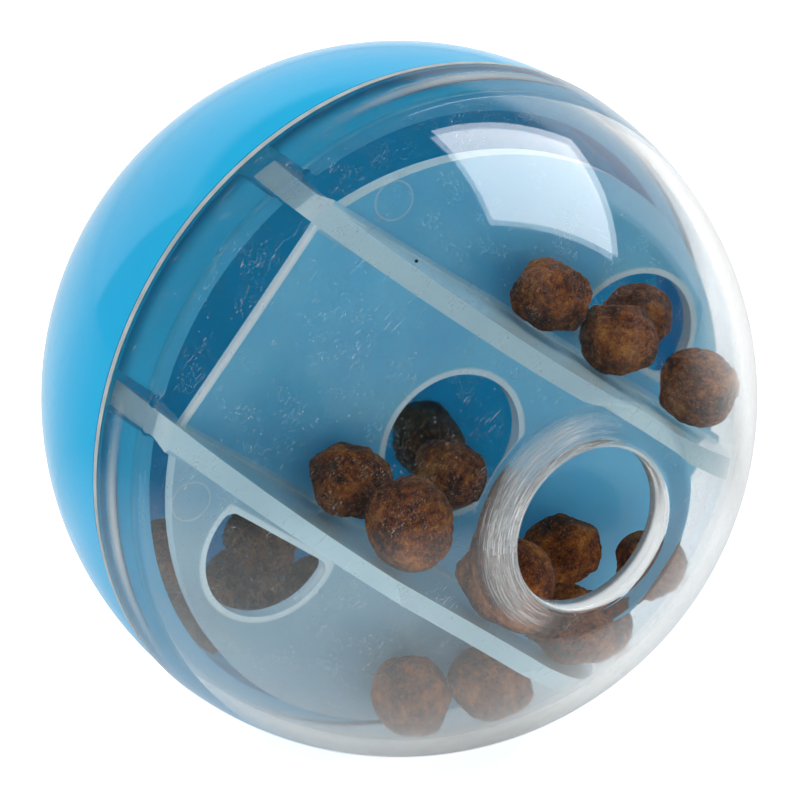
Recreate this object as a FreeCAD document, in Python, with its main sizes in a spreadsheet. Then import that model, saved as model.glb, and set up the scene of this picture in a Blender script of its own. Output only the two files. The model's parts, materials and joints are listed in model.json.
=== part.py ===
import FreeCAD, Part
import math
import os
import re
import Sketcher
from FreeCAD import Placement, Rotation, Vector

# Treat ball: a blue rear shell, a clear front dome with the treat outlet, and a labyrinth
# insert trapped between them, with kibbles in its three channels and behind its floor.
#
# Every piece is drawn about the centre of the ball. Its own Z runs along the axis of the ball
# towards the outlet, its X runs along the channels, and its Y across them, upwards.
# The seam between the halves is the plane Z = 0.

SHEET = "Sizes"

# Alias, value in millimetres (degrees where the note says so), what it is
SIZES = (
    ("ball_radius", 35.0, "outside of the clear dome"),
    ("seam_step", 0.2, "the dome stands this far proud of the blue shell"),
    ("seam_gap", 0.15, "between the dome's end face and the shell's shoulder"),
    ("dome_wall", 1.6, "wall of the dome"),
    ("skirt_depth", 6.2, "straight bore of the dome, from the seam"),
    ("outlet_depth", 4.2, "from the ball's pole to the flat land inside, round the outlet"),
    ("outlet_radius", 8.2, "bore of the treat outlet"),
    ("lip_round", 0.7, "rounding of the outlet's outer lip"),
    ("lip_round_inside", 0.4, "rounding of the outlet's inner edge"),
    ("shell_wall", 1.8, "wall of the blue shell"),
    ("shoulder_depth", 2.0, "full-width ring below the seam"),
    ("shoulder_taper", 1.6, "from that ring out to the shell's inside"),
    ("neck_height", 5.4, "threaded neck above the seam"),
    ("neck_wall", 1.8, "wall of the neck"),
    ("neck_chamfer", 0.5, "lead-in on the neck's rim"),
    ("thread_clearance", 0.4, "between the neck and the dome's skirt"),
    ("insert_clearance", 0.5, "between the insert and the dome"),
    ("floor_height", 11.3, "top of the insert's floor"),
    ("floor_thickness", 1.5, "thickness of the floor"),
    ("floor_radius", 29.6, "round rim of the floor, inside the dome"),
    ("wall_spacing", 25.0, "between the middles of the two walls"),
    ("wall_root", 2.3, "thickness of a wall at the floor"),
    ("wall_tip", 1.7, "thickness of a wall at the dome"),
    ("root_flare", 0.5, "small bevel where a wall meets the floor"),
    ("land_clearance", 0.4, "between the wall tips and the dome's land"),
    ("channel_end", 27.2, "the middle channel's floor ends here"),
    ("centre_hole_radius", 7.3, "round opening in the floor"),
    ("side_hole_radius", 6.8, "arc of the openings in the side channels"),
    ("side_hole_along", 10.8, "middle of that arc, along the channel"),
    ("side_hole_across", 5.1, "middle of that arc, from the wall's middle"),
    ("side_hole_flat", 3.5, "flat side of the opening, from the wall's middle"),
    ("side_hole_corner", 1.2, "rounding of the flat side's ends"),
    ("foot_reach", 5.0, "how far a foot runs in from the dome"),
    ("foot_clearance", 0.1, "lowest foot above the shell's shoulder"),
    ("notch_clearance", 0.2, "each side of a foot in its notch"),
    ("channel_slope", 38.7, "degrees that the channels fall as the ball lies"),
    ("insert_lean", 5.6, "degrees that the loose insert leans in its seat"),
    ("lean_heading", 221.6, "degrees from X, the way its top leans"),
    ("kibble_length", 9.2, "a plain kibble, along the channel"),
    ("kibble_width", 7.8, "a plain kibble, across the channel"),
    ("kibble_height", 8.4, "a plain kibble, off the floor"),
    ("kibble_gap", 0.15, "between a kibble and what it lies against"),
)

# Alias, formula, what it is
WORKED_OUT = (
    ("dome_inside", "ball_radius - dome_wall", "inner sphere and skirt bore"),
    ("shell_radius", "ball_radius - seam_step", "outside of the blue shell"),
    ("shell_inside", "shell_radius - shell_wall", "inside of the blue shell"),
    ("land_height", "ball_radius - outlet_depth", "flat land inside the dome"),
    ("neck_radius", "dome_inside - thread_clearance", "outside of the neck"),
    ("neck_bore", "neck_radius - neck_wall", "inside of the neck"),
    ("insert_radius", "dome_inside - insert_clearance", "sphere that trims the insert"),
    ("floor_underside", "floor_height - floor_thickness", "underside of the floor"),
    ("half_spacing", "wall_spacing / 2", "middle of a wall"),
    ("foot_height", "(foot_clearance + insert_radius * sin(insert_lean * 1 deg))"
                    " / cos(insert_lean * 1 deg)", "underside of the feet"),
    ("tip_height", "insert_radius * cos(insert_lean * 1 deg"
                   " + acos((land_height - land_clearance) / insert_radius))",
     "top of the walls, under the dome's land"),
    ("notch_width", "wall_root + 2 * (notch_clearance"
                    " + neck_height * sin(insert_lean * 1 deg))", "notch in the neck"),
)

doc = FreeCAD.newDocument("treat_ball")


def make_sheet():
    sheet = doc.addObject("Spreadsheet::Sheet", SHEET)
    rows = [(alias, str(value), note) for alias, value, note in SIZES]
    rows += [(alias, "=" + formula, note) for alias, formula, note in WORKED_OUT]
    for row, (alias, content, note) in enumerate(rows, start=1):
        sheet.set("A%d" % row, alias)
        sheet.set("B%d" % row, content)
        sheet.set("C%d" % row, note)
        sheet.setAlias("B%d" % row, alias)
    doc.recompute()
    return sheet


sheet = make_sheet()


def size(alias):
    return float(sheet.get(alias))


def formula(text):
    """A formula in the sheet's aliases, as an expression that another object can hold."""
    names = {row[0] for row in SIZES + WORKED_OUT}

    def with_sheet(match):
        word = match.group(0)
        return SHEET + "." + word if word in names else word

    return re.sub(r"[a-z_]+", with_sheet, text)


# How the pieces lie in the world

def ball_turn():
    """The axis of the ball points along -Y of the world, and the channels fall towards +X."""
    slope = Rotation(Vector(0, 1, 0), size("channel_slope"))
    return slope * Rotation(Vector(1, 0, 0), 90)


def insert_turn():
    """The insert sits loosely and leans about the centre of the ball."""
    heading = math.radians(size("lean_heading"))
    lean_axis = Vector(-math.sin(heading), math.cos(heading), 0)
    return ball_turn() * Rotation(lean_axis, size("insert_lean"))


# Drawing helpers

def new_body(label):
    body = doc.addObject("PartDesign::Body", label)
    body.Label = label
    return body


def new_sketch(body, plane, name, lift=None):
    """A sketch on one of the body's own origin planes, raised off it by a formula."""
    sketch = body.newObject("Sketcher::SketchObject", name)
    support = next(f for f in body.Origin.OriginFeatures if f.Role == plane)
    sketch.AttachmentSupport = (support, [""])
    sketch.MapMode = "FlatFace"
    if lift:
        sketch.setExpression("AttachmentOffset.Base.z", formula(lift))
    return sketch


def pin_point(sketch, edge, end, x, y, free_x=False):
    """Hold one end of an edge at two formulas, or only at its height where it is on an arc."""
    for text, kind, axis, is_free in ((x, "DistanceX", -2, free_x), (y, "DistanceY", -1, False)):
        if is_free:
            continue
        value = float(sketch.evalExpression(formula(text)))
        if abs(value) < 1e-9:
            sketch.addConstraint(Sketcher.Constraint("PointOnObject", edge, end, axis))
            continue
        index = sketch.addConstraint(Sketcher.Constraint(kind, -1, 1, edge, end, value))
        sketch.setExpression("Constraints[%d]" % index, formula(text))


def draw_outline(sketch, corners, rounds=None):
    """A closed outline: lines from corner to corner, or arcs about the origin.

    rounds gives the radius of the arc that leaves a corner, by the corner's place in the list.
    """
    rounds = rounds or {}
    count = len(corners)
    places = []
    for x, y in corners:
        place = [float(sketch.evalExpression(formula(text))) for text in (x, y)]
        places.append(Vector(place[0], place[1], 0))
    first = sketch.GeometryCount
    starts = []
    for i in range(count):
        begin, finish = places[i], places[(i + 1) % count]
        if i not in rounds:
            sketch.addGeometry(Part.LineSegment(begin, finish), False)
            starts.append((1, 2))
            continue
        angles = [math.atan2(p.y, p.x) for p in (begin, finish)]
        circle = Part.Circle(Vector(0, 0, 0), Vector(0, 0, 1), begin.Length)
        forward = angles[1] > angles[0]
        low, high = sorted(angles)
        edge = sketch.addGeometry(Part.ArcOfCircle(circle, low, high), False)
        starts.append((1, 2) if forward else (2, 1))
        sketch.addConstraint(Sketcher.Constraint("Coincident", edge, 3, -1, 1))
        index = sketch.addConstraint(Sketcher.Constraint("Radius", edge, begin.Length))
        sketch.setExpression("Constraints[%d]" % index, formula(rounds[i]))
    for i in range(count):
        after = (i + 1) % count
        sketch.addConstraint(Sketcher.Constraint(
            "Coincident", first + i, starts[i][1], first + after, starts[after][0]))
        on_arc = i in rounds or (i - 1) % count in rounds
        free_x = on_arc and abs(places[i].x) > 1e-9
        free_y = on_arc and not free_x
        if free_y:
            sketch.addConstraint(Sketcher.Constraint("PointOnObject", first + i, starts[i][0], -2))
        else:
            pin_point(sketch, first + i, starts[i][0], corners[i][0], corners[i][1], free_x)


def revolve(body, sketch, kind, name):
    """Turn a sketch on the XZ plane once round the body's Z axis."""
    feature = body.newObject("PartDesign::" + kind, name)
    feature.Profile = sketch
    feature.ReferenceAxis = (sketch, ["V_Axis"])
    feature.Angle = 360.0
    return feature


def cut_through(body, sketch, name):
    """Pocket a sketch right through the body, both ways."""
    pocket = body.newObject("PartDesign::Pocket", name)
    pocket.Profile = sketch
    pocket.Type = 1
    pocket.Midplane = True
    return pocket


def turn_copy(body, feature, name):
    """Repeat a feature half a turn round the body's Z axis."""
    copies = body.newObject("PartDesign::PolarPattern", name)
    copies.Originals = [feature]
    copies.Axis = (next(f for f in body.Origin.OriginFeatures if f.Role == "Z_Axis"), [""])
    copies.Angle = 360.0
    copies.Occurrences = 2
    body.Tip = copies
    return copies


# The blue rear shell

def make_blue_shell():
    body = new_body("blue_shell")
    sketch = new_sketch(body, "XZ_Plane", "shell_profile")
    taper_end = "shoulder_depth + shoulder_taper"
    draw_outline(sketch, (
        ("0", "-shell_radius"),
        ("shell_radius", "0"),
        ("neck_radius", "0"),
        ("neck_radius", "neck_height - neck_chamfer"),
        ("neck_radius - neck_chamfer", "neck_height"),
        ("neck_bore", "neck_height"),
        ("neck_bore", "-shoulder_depth"),
        ("sqrt(shell_inside ^ 2 - (" + taper_end + ") ^ 2)", "-(" + taper_end + ")"),
        ("0", "-shell_inside"),
    ), rounds={0: "shell_radius", 7: "shell_inside"})
    revolve(body, sketch, "Revolution", "shell_wall_and_neck")

    notch = new_sketch(body, "YZ_Plane", "notch_section")
    draw_outline(notch, (
        ("half_spacing - notch_width / 2", "0"),
        ("half_spacing + notch_width / 2", "0"),
        ("half_spacing + notch_width / 2", "2 * neck_height"),
        ("half_spacing - notch_width / 2", "2 * neck_height"),
    ))
    pocket = cut_through(body, notch, "foot_notches")
    turn_copy(body, pocket, "foot_notches_both_sides")
    body.Placement = Placement(Vector(0, 0, 0), ball_turn())
    return body


# The clear front dome

def circle_edges(shape, radius, height):
    """Names of the full circles of one radius at one height."""
    names = []
    for number, edge in enumerate(shape.Edges, start=1):
        curve = edge.Curve
        if isinstance(curve, Part.Circle) and abs(curve.Radius - radius) < 1e-4:
            if abs(curve.Center.z - height) < 1e-4:
                names.append("Edge%d" % number)
    return names


def round_edge(body, radius, height, amount, name):
    before = body.Tip
    fillet = body.newObject("PartDesign::Fillet", name)
    fillet.Base = (before, circle_edges(before.Shape, radius, height))
    fillet.setExpression("Radius", formula(amount))
    doc.recompute()


def make_clear_dome():
    body = new_body("clear_dome")
    sketch = new_sketch(body, "XZ_Plane", "dome_profile")
    mouth_height = "sqrt(ball_radius ^ 2 - outlet_radius ^ 2)"
    draw_outline(sketch, (
        ("dome_inside", "seam_gap"),
        ("sqrt(ball_radius ^ 2 - seam_gap ^ 2)", "seam_gap"),
        ("outlet_radius", mouth_height),
        ("outlet_radius", "land_height"),
        ("sqrt(dome_inside ^ 2 - land_height ^ 2)", "land_height"),
        ("sqrt(dome_inside ^ 2 - skirt_depth ^ 2)", "skirt_depth"),
        ("dome_inside", "skirt_depth"),
    ), rounds={1: "ball_radius", 4: "dome_inside"})
    revolve(body, sketch, "Revolution", "dome_wall_and_outlet")
    doc.recompute()
    mouth = math.sqrt(size("ball_radius") ** 2 - size("outlet_radius") ** 2)
    round_edge(body, size("outlet_radius"), mouth, "lip_round", "outer_lip")
    round_edge(body, size("outlet_radius"), size("land_height"), "lip_round_inside", "inner_lip")
    body.Placement = Placement(Vector(0, 0, 0), ball_turn())
    return body


# The labyrinth insert

def make_floor(body):
    disc = new_sketch(body, "XY_Plane", "floor_disc", lift="floor_underside")
    disc.addGeometry(Part.Circle(Vector(0, 0, 0), Vector(0, 0, 1), size("floor_radius")), False)
    disc.addConstraint(Sketcher.Constraint("Coincident", 0, 3, -1, 1))
    index = disc.addConstraint(Sketcher.Constraint("Radius", 0, size("floor_radius")))
    disc.setExpression("Constraints[%d]" % index, formula("floor_radius"))
    floor = body.newObject("PartDesign::Pad", "floor")
    floor.Profile = disc
    floor.setExpression("Length", formula("floor_thickness"))


def make_walls(body):
    """Both walls have draft, so they are thinner at the dome than at the floor."""
    section = new_sketch(body, "YZ_Plane", "wall_section")
    draw_outline(section, (
        ("half_spacing - wall_root / 2", "foot_height"),
        ("half_spacing + wall_root / 2", "foot_height"),
        ("half_spacing + wall_root / 2", "floor_underside"),
        ("half_spacing + wall_root / 2 + root_flare", "floor_height"),
        ("half_spacing + wall_root / 2", "floor_height + root_flare"),
        ("half_spacing + wall_tip / 2", "insert_radius"),
        ("half_spacing - wall_tip / 2", "insert_radius"),
        ("half_spacing - wall_root / 2", "floor_height + root_flare"),
        ("half_spacing - wall_root / 2 - root_flare", "floor_height"),
        ("half_spacing - wall_root / 2", "floor_underside"),
    ))
    wall = body.newObject("PartDesign::Pad", "wall")
    wall.Profile = section
    wall.Midplane = True
    wall.setExpression("Length", formula("2 * insert_radius"))
    turn_copy(body, wall, "both_walls")


def trim_to_dome(body):
    """Everything outside the insert's sphere goes, and the wall tips end under the land."""
    waste = new_sketch(body, "XZ_Plane", "waste_outside_the_sphere")
    draw_outline(waste, (
        ("0", "tip_height"),
        ("sqrt(insert_radius ^ 2 - tip_height ^ 2)", "tip_height"),
        ("sqrt(insert_radius ^ 2 - (foot_height / 2) ^ 2)", "foot_height / 2"),
        ("2 * insert_radius", "foot_height / 2"),
        ("2 * insert_radius", "2 * insert_radius"),
        ("0", "2 * insert_radius"),
    ), rounds={1: "insert_radius"})
    revolve(body, waste, "Groove", "sphere_trim")


def free_the_feet(body):
    """Below the floor only the ends of the walls run on, as feet."""
    gap = new_sketch(body, "XZ_Plane", "between_the_feet")
    foot_inner = "(sqrt(insert_radius ^ 2 - half_spacing ^ 2) - foot_reach)"
    draw_outline(gap, (
        ("-" + foot_inner, "foot_height / 2"),
        (foot_inner, "foot_height / 2"),
        (foot_inner, "floor_underside"),
        ("-" + foot_inner, "floor_underside"),
    ))
    cut_through(body, gap, "feet")


def tangent_arcs(sketch, pieces):
    """Lines and arcs given in order, joined end to end and held where they are."""
    for piece in pieces:
        sketch.addGeometry(piece, False)
    for i in range(len(pieces)):
        sketch.addConstraint(Sketcher.Constraint("Block", i))


def rounded_corner(centre, radius, low, high):
    """An arc from one angle to another, in degrees."""
    circle = Part.Circle(centre, Vector(0, 0, 1), radius)
    return Part.ArcOfCircle(circle, math.radians(low), math.radians(high))


def open_channel_ends(body):
    """The middle channel's floor stops short of the dome, so kibbles can pass round its end."""
    outline = new_sketch(body, "XY_Plane", "channel_end_outline")
    draw_outline(outline, (
        ("channel_end", "wall_root / 2 - half_spacing"),
        ("2 * insert_radius", "wall_root / 2 - half_spacing"),
        ("2 * insert_radius", "half_spacing - wall_root / 2"),
        ("channel_end", "half_spacing - wall_root / 2"),
    ))
    pocket = cut_through(body, outline, "channel_end")
    turn_copy(body, pocket, "channel_ends")


def open_centre_hole(body):
    hole = new_sketch(body, "XY_Plane", "centre_hole_outline")
    radius = size("centre_hole_radius")
    hole.addGeometry(Part.Circle(Vector(0, 0, 0), Vector(0, 0, 1), radius), False)
    hole.addConstraint(Sketcher.Constraint("Coincident", 0, 3, -1, 1))
    index = hole.addConstraint(Sketcher.Constraint("Radius", 0, radius))
    hole.setExpression("Constraints[%d]" % index, formula("centre_hole_radius"))
    cut_through(body, hole, "centre_hole")


def open_side_holes(body):
    """A round opening in each side channel, cut off flat beside the wall."""
    outline = new_sketch(body, "XY_Plane", "side_hole_outline")
    radius, corner = size("side_hole_radius"), size("side_hole_corner")
    middle = Vector(size("side_hole_along"), size("half_spacing") + size("side_hole_across"), 0)
    flat = size("half_spacing") + size("side_hole_flat")
    drop = middle.y - flat - corner
    reach = math.sqrt((radius - corner) ** 2 - drop ** 2)
    turn = math.degrees(math.asin(drop / (radius - corner)))
    left = Vector(middle.x - reach, flat + corner, 0)
    right = Vector(middle.x + reach, flat + corner, 0)
    tangent_arcs(outline, (
        rounded_corner(middle, radius, -turn, 180 + turn),
        rounded_corner(left, corner, 180 + turn, 270),
        Part.LineSegment(left - Vector(0, corner, 0), right - Vector(0, corner, 0)),
        rounded_corner(right, corner, 270, 360 - turn),
    ))
    pocket = cut_through(body, outline, "side_hole")
    turn_copy(body, pocket, "side_holes")


def make_insert():
    body = new_body("maze_insert")
    make_floor(body)
    make_walls(body)
    trim_to_dome(body)
    free_the_feet(body)
    open_channel_ends(body)
    open_centre_hole(body)
    open_side_holes(body)
    body.Placement = Placement(Vector(0, 0, 0), insert_turn())
    return body


# The kibbles

def reach(share, spin, direction):
    """How far a kibble, an egg shape turned by spin, reaches from its middle in a direction."""
    way = Rotation(*spin).inverted().multVec(direction)
    return share / 2 * math.sqrt(
        (size("kibble_length") * way.x) ** 2
        + (size("kibble_width") * way.y) ** 2
        + (size("kibble_height") * way.z) ** 2)


def stand_off(share, spin, direction):
    return reach(share, spin, direction) + size("kibble_gap")


def steps(count):
    return count * size("kibble_length")


def above_floor(share, spin, lift=0.0):
    return size("floor_height") + stand_off(share, spin, Vector(0, 0, 1)) + steps(lift)


def above_wall(share, spin, side):
    """Against the upper face of a wall."""
    face = side * size("half_spacing") + size("wall_root") / 2
    return face + stand_off(share, spin, Vector(0, 1, 0))


def low_end(across):
    """Where a plain kibble comes to rest between floor and dome, at the low end of a channel."""
    height = size("floor_height") + size("kibble_height") / 2
    far = size("dome_inside") - size("kibble_length") / 2
    return math.sqrt(far ** 2 - height ** 2 - across ** 2)


def under_dome(share, spin, along, across):
    """The height at which a kibble meets the dome, or the flat land round the outlet."""
    level = math.hypot(along, across)
    upwards = math.acos(level / size("dome_inside"))
    way = Vector(along, across, level * math.tan(upwards)).normalize()
    far = size("dome_inside") - stand_off(share, spin, way)
    return min(math.sqrt(far ** 2 - level ** 2),
               size("tip_height") - reach(share, spin, Vector(0, 0, 1)))


def on_wall(share, spin, side, before, lift):
    """On a wall, and off the floor by lift."""
    across = above_wall(share, spin, side)
    along = low_end(across) - steps(before)
    return Vector(along, across, above_floor(share, spin, lift))


def on_wall_by_dome(share, spin, side, before):
    """On a wall, and against the dome."""
    across = above_wall(share, spin, side)
    along = low_end(across) - steps(before)
    return Vector(along, across, under_dome(share, spin, along, across))


def by_floor(share, spin, across, before, lift):
    """At a place in the middle channel, off the floor by lift."""
    along = low_end(steps(across)) - steps(before)
    return Vector(along, steps(across), above_floor(share, spin, lift))


def by_dome(share, spin, across, before):
    """At a place in the middle channel, against the dome."""
    along = low_end(steps(across)) - steps(before)
    return Vector(along, steps(across), under_dome(share, spin, along, steps(across)))


def in_corner(share, spin, side, past):
    """Where floor and dome meet below a wall, and past the wall by a way along the dome."""
    face = side * size("half_spacing") - size("wall_root") / 2
    across = face - stand_off(share, spin, Vector(0, 1, 0))
    height = above_floor(share, spin)
    corner = math.sqrt(size("dome_inside") ** 2 - height ** 2)
    guess = math.asin(across / corner) - steps(past) / corner
    outwards = Vector(corner * math.cos(guess), corner * math.sin(guess), height).normalize()
    far = math.sqrt((size("dome_inside") - stand_off(share, spin, outwards)) ** 2 - height ** 2)
    angle = math.asin(across / far) - steps(past) / far
    return Vector(far * math.cos(angle), far * math.sin(angle), height)


def in_centre_hole(share, spin, heading):
    """In the floor's round opening, against its edge."""
    angle = math.radians(heading)
    way = Vector(math.cos(angle), math.sin(angle), 0)
    height = size("floor_height") - size("floor_thickness") / 2
    return way * (size("centre_hole_radius") - stand_off(share, spin, way)) + Vector(0, 0, height)


def in_side_hole(share, spin, shift):
    """In the upper channel's opening, on its flat side."""
    flat = size("half_spacing") + size("side_hole_flat")
    across = flat + stand_off(share, spin, Vector(0, 1, 0))
    return Vector(size("side_hole_along") + steps(shift), across, size("floor_underside"))


def on_shell(share, spin, heading, depth, inwards):
    """Behind the floor, inwards from the shell, at a heading and a depth in degrees."""
    turn, drop = math.radians(heading), math.radians(depth)
    way = Vector(math.cos(drop) * math.cos(turn), math.cos(drop) * math.sin(turn), -math.sin(drop))
    higher = inwards * size("kibble_width")
    return way * (size("shell_inside") - stand_off(share, spin, way) - higher)


def in_neck(share, spin, heading, height):
    """Behind the floor and against the inside of the neck, at a heading in degrees."""
    turn = math.radians(heading)
    way = Vector(math.cos(turn), math.sin(turn), 0)
    level = Vector(0, 0, steps(height))
    return way * (size("neck_bore") - stand_off(share, spin, way)) + level


def make_kibble(label, share, spin, seat, place, rest):
    kibble = doc.addObject("Part::Ellipsoid", label)
    kibble.Label = label
    for prop, side in (("Radius1", "height"), ("Radius2", "length"), ("Radius3", "width")):
        kibble.setExpression(prop, "%s.kibble_%s / 2 * %s" % (SHEET, side, share))
    middle = seat(share, spin, *place)
    kibble.Placement = Placement(rest.multVec(middle), rest * Rotation(*spin))
    return kibble


def make_kibbles():
    """Label, share of a plain kibble's size, yaw pitch and roll, seat, and place in that seat.

    The places are chosen by eye after the photograph. Those in the channels are counted in
    kibble lengths, along a channel from its low end upwards.
    """
    in_channels = (
        ("kibble_upper_1", 0.90, (8, 10, 0), on_wall, (1, 2.19, 0.0)),
        ("kibble_upper_2", 0.90, (0, 80, 10), on_wall, (1, 1.27, 0.11)),
        ("kibble_upper_3", 0.92, (-8, 10, 0), on_wall_by_dome, (1, 0.21)),
        ("kibble_upper_4", 0.80, (40, 0, 20), in_side_hole, (0.04,)),
        ("kibble_middle_1", 0.96, (10, 30, 0), on_wall, (-1, 3.70, 0.0)),
        ("kibble_middle_2", 1.04, (-30, 20, 10), on_wall_by_dome, (-1, 3.53)),
        ("kibble_middle_3", 1.06, (15, -20, 0), on_wall_by_dome, (-1, 2.07)),
        ("kibble_middle_4", 0.88, (50, 0, 20), by_floor, (-0.35, 0.98, 0.07)),
        ("kibble_middle_5", 0.90, (-10, 20, 0), on_wall_by_dome, (-1, 1.07)),
        ("kibble_middle_6", 0.88, (30, 40, 0), by_dome, (0.06, 0.15)),
        ("kibble_middle_7", 0.88, (0, 20, 0), on_wall_by_dome, (-1, 0.07)),
        ("kibble_middle_8", 0.88, (0, 60, 0), in_centre_hole, (-50,)),
        ("kibble_lower_1", 0.96, (-25, 10, 0), in_corner, (-1, 0.96)),
        ("kibble_lower_2", 0.96, (30, 0, 15), in_corner, (-1, 0.02)),
    )
    in_store = (
        ("kibble_store_1", 0.92, (10, 0, 20), on_shell, (-73.0, 28.0, 0.0)),
        ("kibble_store_2", 0.92, (40, 20, 0), on_shell, (-54.6, 25.0, 0.0)),
        ("kibble_store_3", 0.92, (0, 30, 0), in_neck, (-115.0, -0.39)),
        ("kibble_store_4", 0.92, (-30, 0, 10), on_shell, (-94.0, 11.0, 0.0)),
        ("kibble_store_5", 0.92, (20, 10, 40), on_shell, (-81.0, 26.0, 0.88)),
        ("kibble_store_6", 0.92, (60, 0, 0), in_neck, (-45.0, -0.33)),
        ("kibble_store_7", 0.92, (15, 20, 0), on_shell, (-30.0, 30.0, 0.0)),
        ("kibble_store_8", 0.92, (-15, 0, 30), on_shell, (-8.0, 39.0, 0.0)),
    )
    channel_rows = [make_kibble(*row, insert_turn()) for row in in_channels]
    return channel_rows + [make_kibble(*row, ball_turn()) for row in in_store]


def check(pieces):
    doc.recompute()
    for item in doc.Objects:
        if "Invalid" in item.State or "Error" in item.State:
            raise RuntimeError("%s did not build: %s" % (item.Name, item.State))
    for piece in pieces:
        if piece.Shape.isNull() or not piece.Shape.isValid():
            raise RuntimeError("%s has no valid shape" % piece.Label)
        if len(piece.Shape.Solids) != 1:
            raise RuntimeError("%s is not one solid" % piece.Label)


pieces = [make_blue_shell(), make_clear_dome(), make_insert()] + make_kibbles()
check(pieces)
os.makedirs("parts", exist_ok=True)
for piece in pieces:
    piece.Shape.exportStep(os.path.join("parts", piece.Label + ".step"))
    print("%-18s %9.1f mm3" % (piece.Label, piece.Shape.Volume))
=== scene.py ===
import json
import math
import random

import bmesh
import bpy
from mathutils import Matrix, Vector, noise
from mathutils.bvhtree import BVHTree


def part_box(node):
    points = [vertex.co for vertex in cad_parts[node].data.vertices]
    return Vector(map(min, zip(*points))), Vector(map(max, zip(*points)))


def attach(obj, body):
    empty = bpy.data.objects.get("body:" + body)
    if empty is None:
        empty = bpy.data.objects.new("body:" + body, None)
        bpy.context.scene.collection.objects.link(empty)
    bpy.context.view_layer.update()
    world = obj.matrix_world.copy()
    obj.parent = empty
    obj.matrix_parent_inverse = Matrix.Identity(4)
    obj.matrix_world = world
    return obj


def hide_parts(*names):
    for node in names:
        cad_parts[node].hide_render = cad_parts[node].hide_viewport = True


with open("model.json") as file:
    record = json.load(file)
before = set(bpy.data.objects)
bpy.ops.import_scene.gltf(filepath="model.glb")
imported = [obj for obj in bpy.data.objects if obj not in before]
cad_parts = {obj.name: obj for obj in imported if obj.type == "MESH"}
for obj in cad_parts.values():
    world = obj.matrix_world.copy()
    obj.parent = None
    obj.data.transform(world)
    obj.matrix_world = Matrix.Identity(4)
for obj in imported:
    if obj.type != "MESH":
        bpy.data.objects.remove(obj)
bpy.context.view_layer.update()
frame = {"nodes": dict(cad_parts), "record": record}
nodes = frame["nodes"]

MM = 0.001

# Sizes of the shell and the dome, as in the CAD model, in millimetres
BALL_RADIUS = 35.0
DOME_INSIDE = 33.4
SHELL_RADIUS = 34.8
NECK_HEIGHT = 5.4
SEAM_GAP = 0.15
SKIRT_DEPTH = 6.2
OUTLET_RADIUS = 8.2

# The land inside the dome lies 0.4 mm further out than in the CAD model, as the photograph shows
LAND_HEIGHT = 31.2

# The dome's rounded lips at the outlet, the chamfer inside its end, and its rounded outer edge there:
# how far in and how far up each point is, and how far up the edge meets the sphere
OUTER_LIP, INNER_LIP = 0.7, 0.4
SKIRT_CHAMFER = 0.1
EDGE_ROUND = ((0.42, 0.0), (0.25, 0.03), (0.10, 0.13))
EDGE_TOP = 0.35

# The dome's matt band beside the seam
END_HEIGHT = 1.0

# The insert's floor, the round opening in its middle, and the two openings shaped like a D beside the
# walls: their radius, their place along and across the channels, and how far out their flat side is;
# and where the lower channel begins, across the channels
FLOOR_TOP = 11.3
FLOOR_THICKNESS = 1.5
FLOOR_RADIUS = 29.6
CENTRE_OPENING = 7.3
SIDE_OPENING, SIDE_ALONG, SIDE_ACROSS, SIDE_FLAT = 6.8, 10.8, 17.6, 16.0
LOWER_CHANNEL = (-13.5, -11.5)

# The channels' slope, and how far and which way the insert leans in its seat, in degrees
CHANNEL_SLOPE = 38.7
LEAN, LEAN_HEADING = 5.6, 221.6

# The thread's flights in the skirt's bore: the height of their middle, half their width, how far they
# stand in, and how far and how many times their path waves; then the degrees round the axis that each
# one covers and that its ends taper out in, the share of half its width that each flank takes, and how
# much of the bore stays plain at both ends
FLIGHT_HEIGHT, FLIGHT_HALF, FLIGHT_RISE = 2.75, 0.80, 0.15
FLIGHT_WAVE, FLIGHT_WAVES = 0.35, 3.0
FLIGHTS = ((92, 147), (200, 253), (308, 362))
FLIGHT_TAPER = 22
FLIGHT_FLANK = 0.5
PLAIN_END = 0.3

# The ball's own axes: X along the channels, Y across them and upwards, Z out through the outlet
BALL = Matrix.Rotation(math.radians(CHANNEL_SLOPE), 4, "Y") @ Matrix.Rotation(math.radians(90), 4, "X")
HEADING = math.radians(LEAN_HEADING)
LEAN_AXIS = Vector((-math.sin(HEADING), math.cos(HEADING), 0))
INSERT = BALL @ Matrix.Rotation(math.radians(LEAN), 4, LEAN_AXIS)

# The clear plastic's tint, a dark speck in the dome, the turned rings round its outlet (where they end
# outwards and downwards, and how fine they are), the side in degrees round the axis where they catch the
# light and are drawn, with a painted highlight, the side towards which a cloudy film on the dome grows,
# and the round marks that ejector pins leave on the insert's floor
CLEAR_TINT = (0.955, 0.982, 0.985, 1)
SPECK = Vector((-11.38, -20.72, 25.80))
SPECK_RADIUS = 0.17
SPECK_COLOUR = (0.004, 0.006, 0.008, 1)
RINGS_REACH = (OUTLET_RADIUS + 2.4, OUTLET_RADIUS + 3.8)
RINGS_BOTTOM = (25.0, 26.0)
RINGS_FINENESS = 6.5
RINGS_LIT_SIDE = 160.0
CLOUDY_SIDE = Vector((-0.41, -0.24, -0.88))
EJECTOR_MARKS = [INSERT @ Vector((x, y, FLOOR_TOP)) for x in (-21.8, 21.8) for y in (-17.0, 17.0)]
EJECTOR_INSIDE, EJECTOR_OUTSIDE = 1.82, 2.03

# A kibble's rough skin: flat cuts at these shares of its reach, off a body enlarged by this much, then
# crumbs by their fineness and weight, their depth and the level that they start from, and how far the
# skin may stand out of the solid
CUTS = 15
CUT_SHARES = (0.85, 0.96)
ENLARGED = 1.15
CRUMBS = ((2.0, 0.9), (5.0, 0.7), (11.0, 0.5), (24.0, 0.35))
CRUMB_DEPTH, CRUMB_LEVEL = 0.20, 0.20
PROUD = 0.15

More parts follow.
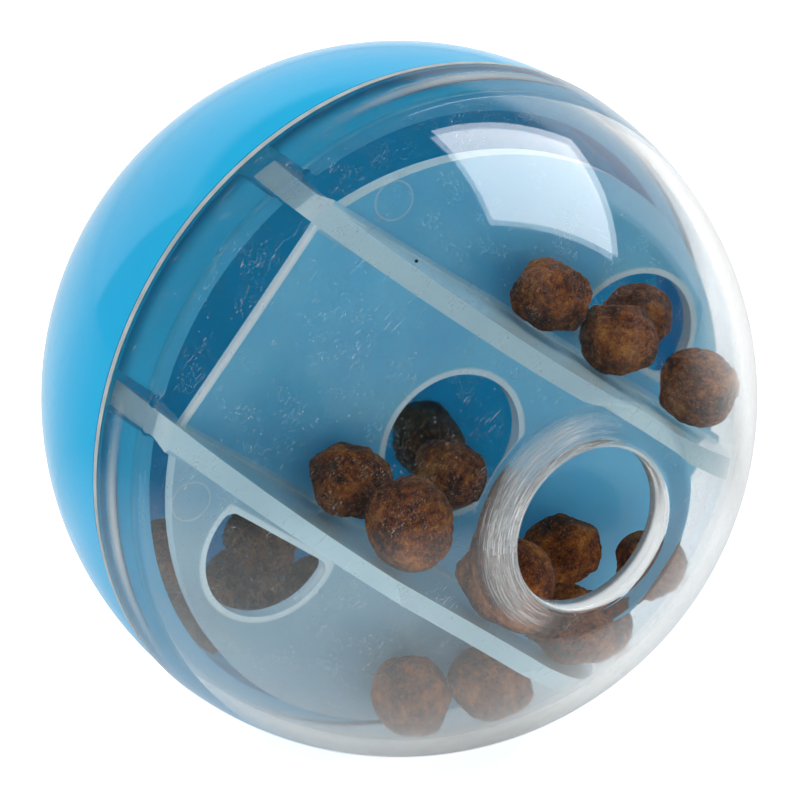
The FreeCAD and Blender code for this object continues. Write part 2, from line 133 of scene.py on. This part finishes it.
# The camera's azimuth and elevation in degrees, its distance in metres, its lens and the lens's shift,
# and the level way it looks
AZIMUTH, ELEVATION = -32.9, 26.05
DISTANCE = 0.9
LENS = 415.7
SHIFT_X, SHIFT_Y = 0.0021, -0.0029
AHEAD = Vector((-math.sin(math.radians(AZIMUTH)), math.cos(math.radians(AZIMUTH))))

# The room's and the backdrop's strength in reflections; where the backdrop starts at its sides, as the
# cosine of the angle from straight ahead, and where it ends at its top, as the sine of the elevation;
# the strength of the plain light on matt surfaces, and how much it grows to the left and upwards
ROOM, BACKDROP = 0.07, 0.87
BACKDROP_SIDES = (0.575, 0.60)
BACKDROP_TOP = (0.46, 0.54)
PLAIN_LEVEL = 1.14
FILL_LEFT, FILL_UP = 0.65, -0.90

# The floor: its half width and place in metres, its colour, its own light, how bright it is in
# reflections, and how dark it gets there towards the camera. The dark part starts from a point this far
# before the ball, in a sector with this slope at its sides, and this far out, in millimetres
FLOOR_SPAN = 3.0
FLOOR_PLACE = -BALL_RADIUS * MM - 0.0002
FLOOR_WHITE = (0.88, 0.88, 0.88, 1)
FLOOR_LIGHT = 0.72
MIRRORED_LIGHT, MIRRORED_FLOOR = 0.40, 0.86
DARK_TABLE = 0.10
DARK_POINT = 25.0
DARK_SLOPE = (0.2, 0.9)
DARK_REACH = (70.0, 150.0)

# The softbox: its middle in metres, the direction of one side, the way from the ball to it, its size
# and its power
SOFTBOX_PLACE = Vector((0.588, 0.057, 0.679))
SOFTBOX_SIDE = Vector((0.755, -0.025, -0.656))
SOFTBOX_WAY = Vector((0.651, -0.102, 0.752))
SOFTBOX_SIZE = (0.61, 0.60)
SOFTBOX_POWER = 5.5

# Most values of a noise texture lie between these two
NOISE_RANGE = (0.3, 0.7)


# Node helpers

class Graph:
    """A tree of shader nodes, and short ways to add to it."""

    def __init__(self, tree):
        self.nodes = tree.nodes
        self.links = tree.links
        self.spot = -300

    def add(self, kind, **values):
        node = self.nodes.new(kind)
        node.location = (self.spot, 200)
        self.spot -= 40
        for key, value in values.items():
            setattr(node, key, value)
        return node

    def link(self, source, target):
        self.links.new(source, target)

    def feed(self, socket, source):
        """Link a socket to another node's output, or set it to a value."""
        if hasattr(source, "is_output"):
            self.link(source, socket)
        else:
            socket.default_value = source

    def math(self, operation, *sources):
        node = self.add("ShaderNodeMath", operation=operation)
        for socket, source in zip(node.inputs, sources):
            self.feed(socket, source)
        return node.outputs[0]

    def chain(self, operation, sources):
        """One operation over all sources in turn."""
        result, *others = sources
        for source in others:
            result = self.math(operation, result, source)
        return result

    def times(self, *sources):
        return self.chain("MULTIPLY", sources)

    def plus(self, *sources):
        return self.chain("ADD", sources)

    def most(self, *sources):
        return self.chain("MAXIMUM", sources)

    def minus(self, first, second):
        return self.math("SUBTRACT", first, second)

    def flip(self, share):
        """What a share leaves of 1."""
        return self.minus(1.0, share)

    def length(self, first, second):
        return self.math("SQRT", self.plus(self.times(first, first), self.times(second, second)))

    def spread(self, source, low, high, to_low, to_high):
        """Numbers from to_low to to_high, as the source goes from low to high, and level beyond."""
        node = self.add("ShaderNodeMapRange")
        for key, value in (("From Min", low), ("From Max", high), ("To Min", to_low), ("To Max", to_high)):
            node.inputs[key].default_value = value
        self.link(source, node.inputs["Value"])
        return node.outputs["Result"]

    def rise(self, source, low, high):
        return self.spread(source, low, high, 0.0, 1.0)

    def fade(self, source, low, high):
        return self.spread(source, low, high, 1.0, 0.0)

    def vary(self, source, to_low, to_high):
        """Numbers from to_low to to_high, over the usual range of a noise texture."""
        return self.spread(source, *NOISE_RANGE, to_low, to_high)

    def split(self, vector):
        node = self.add("ShaderNodeSeparateXYZ")
        self.link(vector, node.inputs[0])
        return node.outputs[0], node.outputs[1], node.outputs[2]


class Tree(Graph):
    """A material's nodes, with one Principled shader."""

    def __init__(self, name):
        self.material = bpy.data.materials.new(name)
        self.material.use_nodes = True
        super().__init__(self.material.node_tree)
        self.shader = self.nodes["Principled BSDF"]

    def mapped(self, vector, kind="POINT", **values):
        """A vector that a Mapping node scales or turns."""
        node = self.add("ShaderNodeMapping", vector_type=kind)
        for key, value in values.items():
            node.inputs[key].default_value = value
        self.link(vector, node.inputs["Vector"])
        return node.outputs["Vector"]

    def coords(self):
        """Object coordinates in millimetres."""
        return self.mapped(self.add("ShaderNodeTexCoord").outputs["Object"], Scale=[1 / MM] * 3)

    def noise(self, where, scale, detail=3.0, rough=0.55):
        node = self.add("ShaderNodeTexNoise")
        node.inputs["Scale"].default_value = scale
        node.inputs["Detail"].default_value = detail
        node.inputs["Roughness"].default_value = rough
        self.link(where, node.inputs["Vector"])
        return node.outputs["Fac"]

    def measure(self, operation, vector, other=(0, 0, 0)):
        """A vector's DISTANCE from another one, or its DOT_PRODUCT with it."""
        node = self.add("ShaderNodeVectorMath", operation=operation)
        self.link(vector, node.inputs[0])
        node.inputs[1].default_value = other
        return node.outputs["Value"]

    def ramp(self, source, stops):
        node = self.add("ShaderNodeValToRGB")
        elements = node.color_ramp.elements
        while len(elements) < len(stops):
            elements.new(0.5)
        for element, (place, colour) in zip(elements, stops):
            element.position = place
            element.color = colour
        self.link(source, node.inputs["Fac"])
        return node.outputs["Color"]

    def tint(self, source, first, second):
        """Colours from first to second, over the usual range of a noise texture."""
        return self.ramp(source, tuple(zip(NOISE_RANGE, (first, second))))

    def mix(self, share, first, second):
        node = self.add("ShaderNodeMix", data_type="RGBA")
        for key, source in ((0, share), (6, first), (7, second)):
            self.feed(node.inputs[key], source)
        return node.outputs[2]

    def bump(self, height, strength, distance):
        node = self.add("ShaderNodeBump")
        self.feed(node.inputs["Strength"], strength)
        node.inputs["Distance"].default_value = distance * MM
        self.link(height, node.inputs["Height"])
        return node.outputs["Normal"]

    def set(self, **values):
        for key, value in values.items():
            self.feed(self.shader.inputs[key.replace("_", " ")], value)


def srgb(red, green, blue):
    """A colour read off as 0 to 255, as the shader wants it."""
    def one(c):
        c /= 255
        return c / 12.92 if c <= 0.04045 else ((c + 0.055) / 1.055) ** 2.4
    return (one(red), one(green), one(blue), 1)


def axis_parts(t, where):
    """Distance from the ball's axis, height above the seam and angle round the axis."""
    across, along, up = t.split(where)
    return t.length(across, up), t.times(along, -1.0), t.math("ARCTAN2", up, across)


def spot(t, where, centre, radius, soft=0.02):
    """1 within a small ball round a point, in millimetres."""
    return t.fade(t.measure("DISTANCE", where, centre), radius, radius + soft)


def ahead_and_left(t, x, y):
    """How far a place lies ahead of the ball and to its left, as the camera sees it."""
    ahead = t.plus(t.times(x, AHEAD.x), t.times(y, AHEAD.y))
    left = t.plus(t.times(x, -AHEAD.y), t.times(y, AHEAD.x))
    return ahead, left


# Materials

def blue_plastic():
    """Glossy outside, and thin enough to let a little light through, so that it glows inside."""
    t = Tree("blue_moulded_plastic")
    where = t.coords()
    height = t.times(t.split(where)[1], -1.0)
    outside = t.rise(t.measure("DISTANCE", where), SHELL_RADIUS - 0.9, SHELL_RADIUS - 0.5)
    neck = t.rise(height, 0.1, 0.3)
    # Painted highlight: the neck's rim is painted paler, where it catches the light
    painted_rim_highlight = t.spread(height, NECK_HEIGHT - 0.45, NECK_HEIGHT - 0.15, 0.0, 0.12)
    specks = t.spread(t.noise(where, 2.6, 2.0, 0.6), 0.72, 0.80, 0.0, 0.2)

    colour = t.tint(t.noise(where, 0.05, 2.0), srgb(0, 196, 254), srgb(0, 202, 255))
    colour = t.mix(outside, srgb(0, 222, 255), colour)
    colour = t.mix(neck, colour, srgb(0, 178, 228))
    # The neck's rim painted paler: a painted highlight
    colour = t.mix(painted_rim_highlight, colour, srgb(200, 226, 234))
    colour = t.mix(specks, colour, srgb(120, 200, 235))
    t.set(Base_Color=colour, Roughness=t.vary(t.noise(where, 0.9), 0.50, 0.60), IOR=1.46,
          Transmission_Weight=0.20, Specular_IOR_Level=0.1, Coat_IOR=1.46, Coat_Roughness=0.08,
          Coat_Weight=t.times(outside, 0.75), Normal=t.bump(t.noise(where, 0.35, 2.0), 0.03, 0.03))
    return t.material


def scratches(t, where, turn, width):
    """Fine straight hairlines in patches: noise drawn out one way, only its crests kept."""
    turned = t.mapped(where, Rotation=[math.radians(v) for v in turn])
    lines = t.noise(t.mapped(turned, Scale=(0.08, width, width)), 1.0, 1.0, 0.4)
    patches = t.noise(where, 0.35, 2.0, 0.5)
    return t.times(t.rise(lines, 0.68, 0.71), t.rise(patches, 0.50, 0.62))


def outlet_rings(t, radius, height, angle):
    """Turned marks round the outlet: where they are drawn, on the side where they catch the light; their
    pattern; and 1 on that lit side.
    """
    turned = t.add("ShaderNodeCombineXYZ")
    t.link(t.times(radius, RINGS_FINENESS), turned.inputs[0])
    t.link(t.times(angle, 2.0), turned.inputs[1])
    pattern = t.noise(turned.outputs[0], 1.0, 3.0, 0.7)
    near_outlet = t.times(t.fade(radius, *RINGS_REACH), t.rise(height, *RINGS_BOTTOM))
    side = t.math("COSINE", t.minus(angle, math.radians(RINGS_LIT_SIDE)))
    return t.times(near_outlet, t.rise(side, -0.1, 0.5)), pattern, side


def clear_plastic():
    """Clear, with a slight haze, handling hairlines, dust and the turned marks round the outlet, which
    carry a painted highlight on the side where they catch the light.
    """
    t = Tree("clear_moulded_plastic")
    where = t.coords()
    radius, height, angle = axis_parts(t, where)

    rings, pattern, side = outlet_rings(t, radius, height, angle)
    # The turned marks are real, but they are drawn only on the lit side. Paler at their crests and whitest
    # towards that side, they carry a painted highlight, and the whiter wash over them is partly wear and
    # partly painted sheen
    bright = t.times(rings, t.rise(pattern, 0.49, 0.57))
    painted_ring_highlight = t.times(bright, t.spread(side, 0.80, 1.0, 0.0, 0.95))
    ring_wear_and_sheen = t.times(rings, t.spread(side, 0.2, 1.0, 0.10, 0.24))

    hair = t.most(scratches(t, where, (20, 35, 10), 10.0), scratches(t, where, (70, -15, 60), 11.0))
    dust = t.spread(t.noise(where, 3.4, 1.0, 0.4), 0.745, 0.775, 0.0, 0.7)
    bore = t.times(t.fade(radius, OUTLET_RADIUS + 0.35, OUTLET_RADIUS + 0.5), t.rise(height, 30.0, 30.5))
    # A cloudy film on the dome, growing towards the lower left
    low = t.spread(t.measure("DOT_PRODUCT", where, CLOUDY_SIDE), 18.0, 32.0, 0.0, 0.12)
    film = t.times(t.vary(t.noise(where, 0.12), 0.6, 1.0), low)
    speck = spot(t, where, SPECK, SPECK_RADIUS)

    marks = t.times(t.most(hair, dust), 0.34)
    marks = t.most(marks, ring_wear_and_sheen, t.times(bright, 0.5), t.times(bore, 0.26), painted_ring_highlight)
    cloudy = t.most(t.plus(marks, film), speck)
    skirt = t.spread(height, SKIRT_DEPTH - 0.8, SKIRT_DEPTH + 0.8, 0.10, 0.0)
    haze = t.vary(t.noise(where, 0.2), 0.02, 0.05)
    rough = t.plus(haze, t.times(rings, 0.04), skirt, t.times(bore, 0.10))
    t.set(Base_Color=t.mix(speck, CLEAR_TINT, SPECK_COLOUR), IOR=1.53, Roughness=rough,
          Normal=t.bump(pattern, t.times(rings, 0.5), 0.04), Transmission_Weight=t.flip(cloudy))
    return t.material


def clear_edge():
    """The dome's end face and the band beside it: matt, and pale with the light that they carry."""
    t = Tree("matt_edge_of_clear_plastic")
    where = t.coords()
    t.set(Base_Color=t.tint(t.noise(where, 0.5), srgb(166, 178, 182), srgb(190, 200, 202)), IOR=1.5,
          Roughness=0.45, Specular_IOR_Level=0.2, Normal=t.bump(t.noise(where, 3.0, 2.0), 0.2, 0.05))
    return t.material


def flight_bands(t, height, angle):
    """1 along the middle of the thread's flights, fading out to their sides and ends."""
    # Angles from 90 to 450 degrees, so that no flight lies across the end of the turn
    turned = t.math("WRAP", t.plus(t.math("DEGREES", angle), CHANNEL_SLOPE), 450.0, 90.0)
    wave = t.math("SINE", t.times(t.math("RADIANS", turned), FLIGHT_WAVES))
    centre = t.plus(FLIGHT_HEIGHT, t.times(wave, FLIGHT_WAVE))
    gap = t.math("ABSOLUTE", t.minus(height, centre))
    shares = []
    for start, end in FLIGHTS:
        ends = t.rise(turned, start, start + FLIGHT_TAPER), t.fade(turned, end - FLIGHT_TAPER, end)
        shares.append(t.times(*ends))
    return t.times(t.fade(gap, 0.2, FLIGHT_HALF * 1.2), t.most(*shares))


def dull_bore():
    """The skirt's bore: it lies close to the neck, so it mirrors little, and it blurs what is behind.

    The flights of the thread show in it as soft pale bands: a painted highlight, where they catch the
    light.
    """
    t = Tree("dull_bore_of_clear_plastic")
    where = t.coords()
    _, height, angle = axis_parts(t, where)
    cloud = t.noise(where, 0.4)
    band = flight_bands(t, height, angle)
    t.set(Base_Color=t.tint(cloud, srgb(240, 246, 246), srgb(250, 252, 250)), IOR=1.25, Roughness=0.18,
          # Painted highlight: the flights' bands are painted pale, where they catch the light
          Transmission_Weight=t.minus(t.vary(cloud, 0.94, 0.98), t.times(band, 0.78)),
          Normal=t.bump(t.noise(where, 2.0, 2.0), 0.1, 0.03))
    return t.material


def opening_distance(t, along, across):
    """How far a point of the insert's floor lies from the nearest opening, in millimetres."""
    beside = t.minus(t.times(along, t.math("SIGN", across)), SIDE_ALONG)
    past_wall = t.math("ABSOLUTE", across)
    to_arc = t.minus(t.length(beside, t.minus(past_wall, SIDE_ACROSS)), SIDE_OPENING)
    to_side = t.most(to_arc, t.minus(SIDE_FLAT, past_wall))
    return t.math("MINIMUM", to_side, t.minus(t.length(along, across), CENTRE_OPENING))


def ejector_rings(t, where):
    """1 on the thin rings that the ejector pins leave on the insert's floor."""
    rings = []
    for mark in EJECTOR_MARKS:
        outer, inner = (spot(t, where, mark, radius, 0.06) for radius in (EJECTOR_OUTSIDE, EJECTOR_INSIDE))
        rings.append(t.minus(outer, inner))
    return t.most(*rings)


def milky_plastic():
    """Milky and glossy: it lets the blue through, and is whiter where one looks along its thickness."""
    t = Tree("milky_moulded_plastic")
    where = t.coords()
    level = INSERT.inverted().to_euler()
    along, across, up = t.split(t.mapped(where, "VECTOR", Rotation=level))
    outwards = t.add("ShaderNodeTexCoord").outputs["Normal"]
    facing_along, _, facing_up = t.split(t.mapped(outwards, "VECTOR", Rotation=level))
    cloud = t.noise(where, 0.10)

    # Where one sees the plastic edge on: upright faces and the walls
    upright = t.fade(t.math("ABSOLUTE", facing_up), 0.45, 0.8)
    wall = t.rise(up, FLOOR_TOP + 0.1, FLOOR_TOP + 0.4)
    edge_on = t.most(upright, wall)
    # Painted light: the lower channel's floor is painted paler grey, for the light that the white table
    # below throws on it
    lower_channel = t.times(t.fade(across, *LOWER_CHANNEL), t.flip(edge_on))

    # The pale rims of the floor and its openings, a painted highlight along those edges, and the feet below
    # the floor
    floor_bottom = FLOOR_TOP - FLOOR_THICKNESS
    foot = t.fade(up, floor_bottom - 0.3, floor_bottom - 0.1)
    round_rim = t.spread(t.length(along, across), FLOOR_RADIUS - 0.6, FLOOR_RADIUS - 0.3, 1.0, 0.45)
    floor_edge = t.times(upright, t.flip(wall), t.flip(foot), round_rim)
    lip = t.times(t.fade(opening_distance(t, along, across), 0.5, 0.75), t.flip(wall), 0.9)
    rim = t.most(floor_edge, lip)

    # A painted highlight: a white line along the floor's two straight cuts
    cut = t.rise(t.math("ABSOLUTE", facing_along), 0.85, 0.95)
    cut = t.times(cut, t.fade(up, FLOOR_TOP - 0.02, FLOOR_TOP + 0.02))
    line = t.rise(up, FLOOR_TOP - 1.0, FLOOR_TOP - 0.8)
    line = t.times(line, t.fade(up, FLOOR_TOP - 0.45, FLOOR_TOP - 0.25))
    cut_highlight = t.times(cut, line)

    ring = ejector_rings(t, where)
    flecks = t.spread(t.noise(where, 3.4, 1.0, 0.4), 0.77, 0.80, 0.0, 0.5)

    colour = t.tint(cloud, srgb(114, 218, 255), srgb(134, 226, 255))
    colour = t.mix(edge_on, colour, srgb(206, 236, 246))
    # The lower channel painted paler grey: painted light from below
    colour = t.mix(t.times(lower_channel, 0.55), colour, srgb(206, 214, 220))
    # Painted highlight: the rims of the floor and of its openings painted paler
    colour = t.mix(rim, colour, srgb(228, 244, 250))
    # The painted highlight on the cuts, and the ejector rings, paler still
    colour = t.mix(t.most(cut_highlight, t.times(ring, 0.5)), colour, srgb(248, 252, 254))
    milk = t.most(t.vary(cloud, 0.46, 0.56), t.times(ring, 0.20), flecks, cut_highlight)
    milk = t.most(milk, t.times(edge_on, t.vary(cloud, 0.62, 0.74)))
    milk = t.times(milk, t.spread(foot, 0.0, 1.0, 1.0, 0.55))
    milk = t.most(milk, t.times(rim, 0.88))
    t.set(Base_Color=colour, IOR=1.40, Transmission_Weight=t.flip(milk),
          Roughness=t.vary(t.noise(where, 1.6, 3.0, 0.6), 0.30, 0.36), Coat_Weight=0.5, Coat_Roughness=0.06,
          Normal=t.bump(ring, 0.5, 0.06))
    return t.material


def kibble_material():
    """Baked, coarse and patchy, with painted shade in the hollows of its bump and small painted glints on
    its fat.
    """
    t = Tree("baked_kibble")
    where = t.coords()
    patches = t.noise(where, 0.30, 4.0, 0.6)
    grain = t.noise(where, 1.6, 5.0, 0.7)
    fine = t.noise(where, 5.5, 3.0, 0.65)
    # Painted glints: specks painted pale gold, with a glossier skin
    painted_glint = t.spread(fine, 0.60, 0.68, 0.0, 0.7)
    # Painted shade: darker where the bump dips
    painted_pit_shade = t.spread(fine, 0.30, 0.40, 0.6, 0.0)
    colour = t.ramp(t.plus(t.times(patches, 0.5), t.times(grain, 0.5)),
                    ((0.38, srgb(48, 17, 1)), (0.46, srgb(100, 40, 3)),
                     (0.54, srgb(158, 80, 12)), (0.64, srgb(208, 126, 38))))
    colour = t.mix(painted_glint, colour, srgb(222, 168, 88))
    colour = t.mix(painted_pit_shade, colour, srgb(40, 22, 12))
    t.set(Base_Color=colour, Roughness=t.spread(painted_glint, 0.0, 0.85, 0.70, 0.28), IOR=1.5,
          Normal=t.bump(t.plus(t.times(grain, 0.6), t.times(fine, 0.5)), 1.0, 0.8))
    return t.material


# Meshes

def put_in(mesh, name, body, material, node):
    """Add a piece that rides on a body, in place of a node of the frame."""
    for polygon in mesh.polygons:
        polygon.use_smooth = True
    obj = bpy.data.objects.new(name, mesh)
    bpy.context.scene.collection.objects.link(obj)
    mesh.materials.append(material)
    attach(obj, body)
    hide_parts(node)


def revolved(name, outline, turn, shape, around=384):
    """A closed outline of (radius, height) points in millimetres, turned round the ball's axis.

    shape gives the radius for a ring's radius, height and angle.
    """
    bm = bmesh.new()
    rings = []
    for radius, height in outline:
        ring = []
        for i in range(around):
            angle = 2 * math.pi * i / around
            reach = shape(radius, height, angle)
            place = (reach * math.cos(angle) * MM, reach * math.sin(angle) * MM, height * MM)
            ring.append(bm.verts.new(place))
        rings.append(ring)
    for first, second in zip(rings, rings[1:] + rings[:1]):
        for i in range(around):
            j = (i + 1) % around
            bm.faces.new((first[i], first[j], second[j], second[i]))
    bmesh.ops.recalc_face_normals(bm, faces=bm.faces)
    bm.transform(turn)
    mesh = bpy.data.meshes.new(name)
    bm.to_mesh(mesh)
    bm.free()
    return mesh


def arc(radius, start, end, count, centre=(0, 0)):
    """Points (radius from the axis, height) along an arc, angles in degrees up from the seam."""
    points = []
    for i in range(count + 1):
        angle = math.radians(start + (end - start) * i / count)
        points.append((centre[0] + radius * math.cos(angle), centre[1] + radius * math.sin(angle)))
    return points


def angle_of(height, radius):
    """Degrees up from the seam to a height on a sphere."""
    return math.degrees(math.asin(height / radius))


def dome_outline():
    """From the end face out over the sphere, in through the outlet, and back down the inside."""
    lip_reach = OUTLET_RADIUS + OUTER_LIP
    lip_height = math.sqrt((BALL_RADIUS - OUTER_LIP) ** 2 - lip_reach ** 2)
    lip_angle = math.degrees(math.atan2(lip_height, lip_reach))
    edge_angle = angle_of(SEAM_GAP + EDGE_TOP, BALL_RADIUS)
    band_angle = angle_of(END_HEIGHT, BALL_RADIUS)
    outline = [(DOME_INSIDE + SKIRT_CHAMFER, SEAM_GAP)]
    outline += [(BALL_RADIUS - inwards, SEAM_GAP + up) for inwards, up in EDGE_ROUND]
    outline += arc(BALL_RADIUS, edge_angle, band_angle, 2)[:-1]
    outline += arc(BALL_RADIUS, band_angle, lip_angle, 90)
    outline += arc(OUTER_LIP, lip_angle, 180, 12, (lip_reach, lip_height))[1:]
    outline += arc(INNER_LIP, 180, 270, 6, (OUTLET_RADIUS + INNER_LIP, LAND_HEIGHT + INNER_LIP))
    land_end = math.sqrt(DOME_INSIDE ** 2 - LAND_HEIGHT ** 2)
    outline += [(OUTLET_RADIUS + 1.6, LAND_HEIGHT), (land_end - 0.4, LAND_HEIGHT)]
    outline += arc(DOME_INSIDE, angle_of(LAND_HEIGHT, DOME_INSIDE), angle_of(SKIRT_DEPTH, DOME_INSIDE), 80)
    steps = 44
    bore = SKIRT_DEPTH - SEAM_GAP - SKIRT_CHAMFER
    outline += [(DOME_INSIDE, SKIRT_DEPTH - bore * i / steps) for i in range(steps + 1)]
    return outline


def flight(angle):
    """How much of a thread flight stands at an angle in degrees: it tapers out at its ends."""
    share = 0.0
    for start, end in FLIGHTS:
        for turned in (angle, angle + 360):
            if start < turned < end:
                share = max(share, min(1.0, (turned - start) / FLIGHT_TAPER, (end - turned) / FLIGHT_TAPER))
    return share


def skirt_bore(radius, height, angle):
    """The skirt's bore, with the flights of the thread standing in from it."""
    if abs(radius - DOME_INSIDE) > 1e-6 or not PLAIN_END < height < SKIRT_DEPTH - PLAIN_END:
        return radius
    degrees = math.degrees(angle) % 360
    centre = FLIGHT_HEIGHT + FLIGHT_WAVE * math.sin(math.radians(degrees * FLIGHT_WAVES))
    gap = abs(height - centre) / FLIGHT_HALF
    crest = max(0.0, min(1.0, (1 + FLIGHT_FLANK / 2 - gap) / FLIGHT_FLANK))
    return radius - FLIGHT_RISE * flight(degrees) * crest * crest * (3 - 2 * crest)


def add_dome(clear):
    """The dome, with its own materials on the matt end at the seam and in the skirt's bore."""
    mesh = revolved("dome_clear", dome_outline(), BALL, skirt_bore)
    put_in(mesh, "dome_clear", "dome", clear, "clear_dome")
    mesh.materials.append(clear_edge())
    mesh.materials.append(dull_bore())
    bore_reach = DOME_INSIDE + 0.05
    for polygon in mesh.polygons:
        height = -polygon.center.y / MM
        reach = math.hypot(polygon.center.x, polygon.center.z) / MM
        if height < END_HEIGHT and reach > bore_reach:
            polygon.material_index = 1
            polygon.use_smooth = False
        elif height < SKIRT_DEPTH - 0.1 and reach < bore_reach:
            polygon.material_index = 2


def flat_cuts(source, centre, maker):
    """Directions in which flat facets are cut off a kibble, and how far out each cut lies."""
    ways = [Vector([maker.gauss(0, 1) for _ in range(3)]).normalized() for _ in range(CUTS)]
    cuts = []
    for way in ways:
        reach = max((vert.co - centre).dot(way) for vert in source.verts)
        cuts.append((way, reach * maker.uniform(*CUT_SHARES)))
    return cuts


def add_kibble(node, seed, material, body):
    """A rough lump that keeps to its node: flat facets are cut off it, and its skin is crumbled."""
    source = bmesh.new()
    source.from_mesh(nodes[node].data)
    tree = BVHTree.FromBMesh(source)
    low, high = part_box(node)
    centre = (low + high) / 2
    maker = random.Random(seed)
    cuts = flat_cuts(source, centre, maker)
    source.free()
    shift = Vector([maker.uniform(-50, 50) for _ in range(3)])
    bm = bmesh.new()
    bmesh.ops.create_icosphere(bm, subdivisions=6, radius=1.0)
    for vert in bm.verts:
        way = vert.co.normalized()
        hit = tree.ray_cast(centre, way)
        whole = (hit[0] - centre).length
        reach = whole * ENLARGED
        for cut, depth in cuts:
            facing = way.dot(cut)
            if facing > 0.1 and depth / facing < reach:
                reach = depth / facing
        crumbs = sum(weight * noise.noise(way * fineness + shift) for fineness, weight in CRUMBS)
        limit = whole + PROUD * MM
        reach = min(limit, reach) - CRUMB_DEPTH * MM * (CRUMB_LEVEL + crumbs)
        vert.co = centre + way * min(limit, reach)
    mesh = bpy.data.meshes.new(node + "_rough")
    every_way = {"use_axis_x": True, "use_axis_y": True, "use_axis_z": True}
    bmesh.ops.smooth_vert(bm, verts=bm.verts, factor=0.35, **every_way)
    bm.to_mesh(mesh)
    bm.free()
    put_in(mesh, node + "_rough", body, material, node)


# The object

blue, clear, milky, baked = blue_plastic(), clear_plastic(), milky_plastic(), kibble_material()

for node, material in (("blue_shell", blue), ("maze_insert", milky)):
    nodes[node].data.materials.clear()
    nodes[node].data.materials.append(material)

add_dome(clear)

for number, (body, members) in enumerate(sorted(frame["record"]["behaviour"]["bodies"].items())):
    for place, node in enumerate(members):
        if node.startswith("kibble_"):
            add_kibble(node, 100 * number + place, baked, body)


# The stage

def floor_material():
    """White to the eye and in reflections, and a matt surface for everything else.

    In reflections the table darkens towards the camera, which stands in a dark room.
    """
    t = Tree("floor_white")
    path = t.add("ShaderNodeLightPath").outputs
    x, y, _ = t.split(t.coords())
    ahead, left = ahead_and_left(t, x, y)
    ahead = t.plus(ahead, DARK_POINT)
    slope = t.math("DIVIDE", ahead, t.plus(t.math("ABSOLUTE", left), DARK_POINT))
    near_camera = t.math("MINIMUM", t.fade(slope, *DARK_SLOPE), t.rise(t.length(ahead, left), *DARK_REACH))
    mirrored = t.flip(t.most(path["Is Camera Ray"], t.math("MINIMUM", path["Diffuse Depth"], 1.0)))
    lit = t.times(t.spread(t.times(mirrored, near_camera), 0.0, 1.0, 1.0, DARK_TABLE),
                  t.spread(mirrored, 0.0, 1.0, 1.0, MIRRORED_FLOOR))
    through = t.most(path["Is Glossy Ray"], path["Is Transmission Ray"])
    seen = t.most(path["Is Camera Ray"], t.times(MIRRORED_LIGHT, through))
    t.set(Base_Color=t.mix(lit, (0, 0, 0, 1), FLOOR_WHITE), Roughness=0.9, Specular_IOR_Level=0.1,
          Emission_Color=(1, 1, 1, 1), Emission_Strength=t.times(seen, FLOOR_LIGHT, lit))
    return t.material


def add_floor():
    signs = ((-1, -1), (1, -1), (1, 1), (-1, 1))
    corners = [(x * FLOOR_SPAN, y * FLOOR_SPAN, FLOOR_PLACE) for x, y in signs]
    mesh = bpy.data.meshes.new("floor")
    mesh.from_pydata(corners, [], [(0, 1, 2, 3)])
    mesh.materials.append(floor_material())
    obj = bpy.data.objects.new("floor", mesh)
    bpy.context.scene.collection.objects.link(obj)


def add_world():
    """White light for every matt surface and to the eye.

    Reflections show a dark room with a white backdrop behind the ball.
    """
    world = bpy.data.worlds.new("studio")
    bpy.context.scene.world = world
    world.use_nodes = True
    t = Graph(world.node_tree)
    path = t.add("ShaderNodeLightPath").outputs
    x, y, z = t.split(t.add("ShaderNodeTexCoord").outputs["Generated"])
    ahead, left = ahead_and_left(t, x, y)
    backdrop = t.spread(t.math("DIVIDE", ahead, t.length(x, y)), *BACKDROP_SIDES, ROOM, BACKDROP)
    mirrored = t.most(t.times(backdrop, t.fade(z, *BACKDROP_TOP)), ROOM)
    plain = t.plus(t.times(left, FILL_LEFT), t.times(z, FILL_UP), PLAIN_LEVEL)
    on_matt = t.times(t.math("MINIMUM", path["Diffuse Depth"], 1.0), plain)
    background = t.nodes["Background"]
    background.inputs["Color"].default_value = (1, 1, 1, 1)
    t.link(t.most(mirrored, path["Is Camera Ray"], on_matt), background.inputs["Strength"])
    world.cycles.sampling_method = "NONE"


add_floor()
add_world()


# Camera and lights

def set_up(name, data, right, over, back, place):
    """Add a camera or lamp that looks along the opposite of back, and return its object."""
    obj = bpy.data.objects.new(name, data)
    bpy.context.scene.collection.objects.link(obj)
    rows = [[column[row] for column in (right, over, back, place)] for row in range(3)]
    obj.matrix_world = Matrix(rows + [[0, 0, 0, 1]])
    return obj


def add_camera():
    data = bpy.data.cameras.new("camera")
    data.sensor_width = 36.0
    data.lens = LENS
    data.shift_x, data.shift_y = SHIFT_X, SHIFT_Y
    data.clip_start = 0.05
    data.clip_end = 20.0
    level = math.cos(math.radians(ELEVATION))
    back = Vector((-AHEAD.x * level, -AHEAD.y * level, math.sin(math.radians(ELEVATION))))
    right = Vector((AHEAD.y, -AHEAD.x, 0))
    bpy.context.scene.camera = set_up("camera", data, right, back.cross(right), back, back * DISTANCE)


def add_softbox():
    """A rectangular lamp above the ball, to its right and a little behind it."""
    data = bpy.data.lights.new("top_softbox", "AREA")
    data.shape = "RECTANGLE"
    data.size, data.size_y = SOFTBOX_SIZE
    data.energy = SOFTBOX_POWER
    back = SOFTBOX_WAY.normalized()
    side = (SOFTBOX_SIDE - back * SOFTBOX_SIDE.dot(back)).normalized()
    set_up("top_softbox", data, side, back.cross(side), back, SOFTBOX_PLACE)


add_camera()
add_softbox()

scene = bpy.context.scene
scene.view_settings.view_transform = "Standard"
scene.cycles.blur_glossy = 0.0
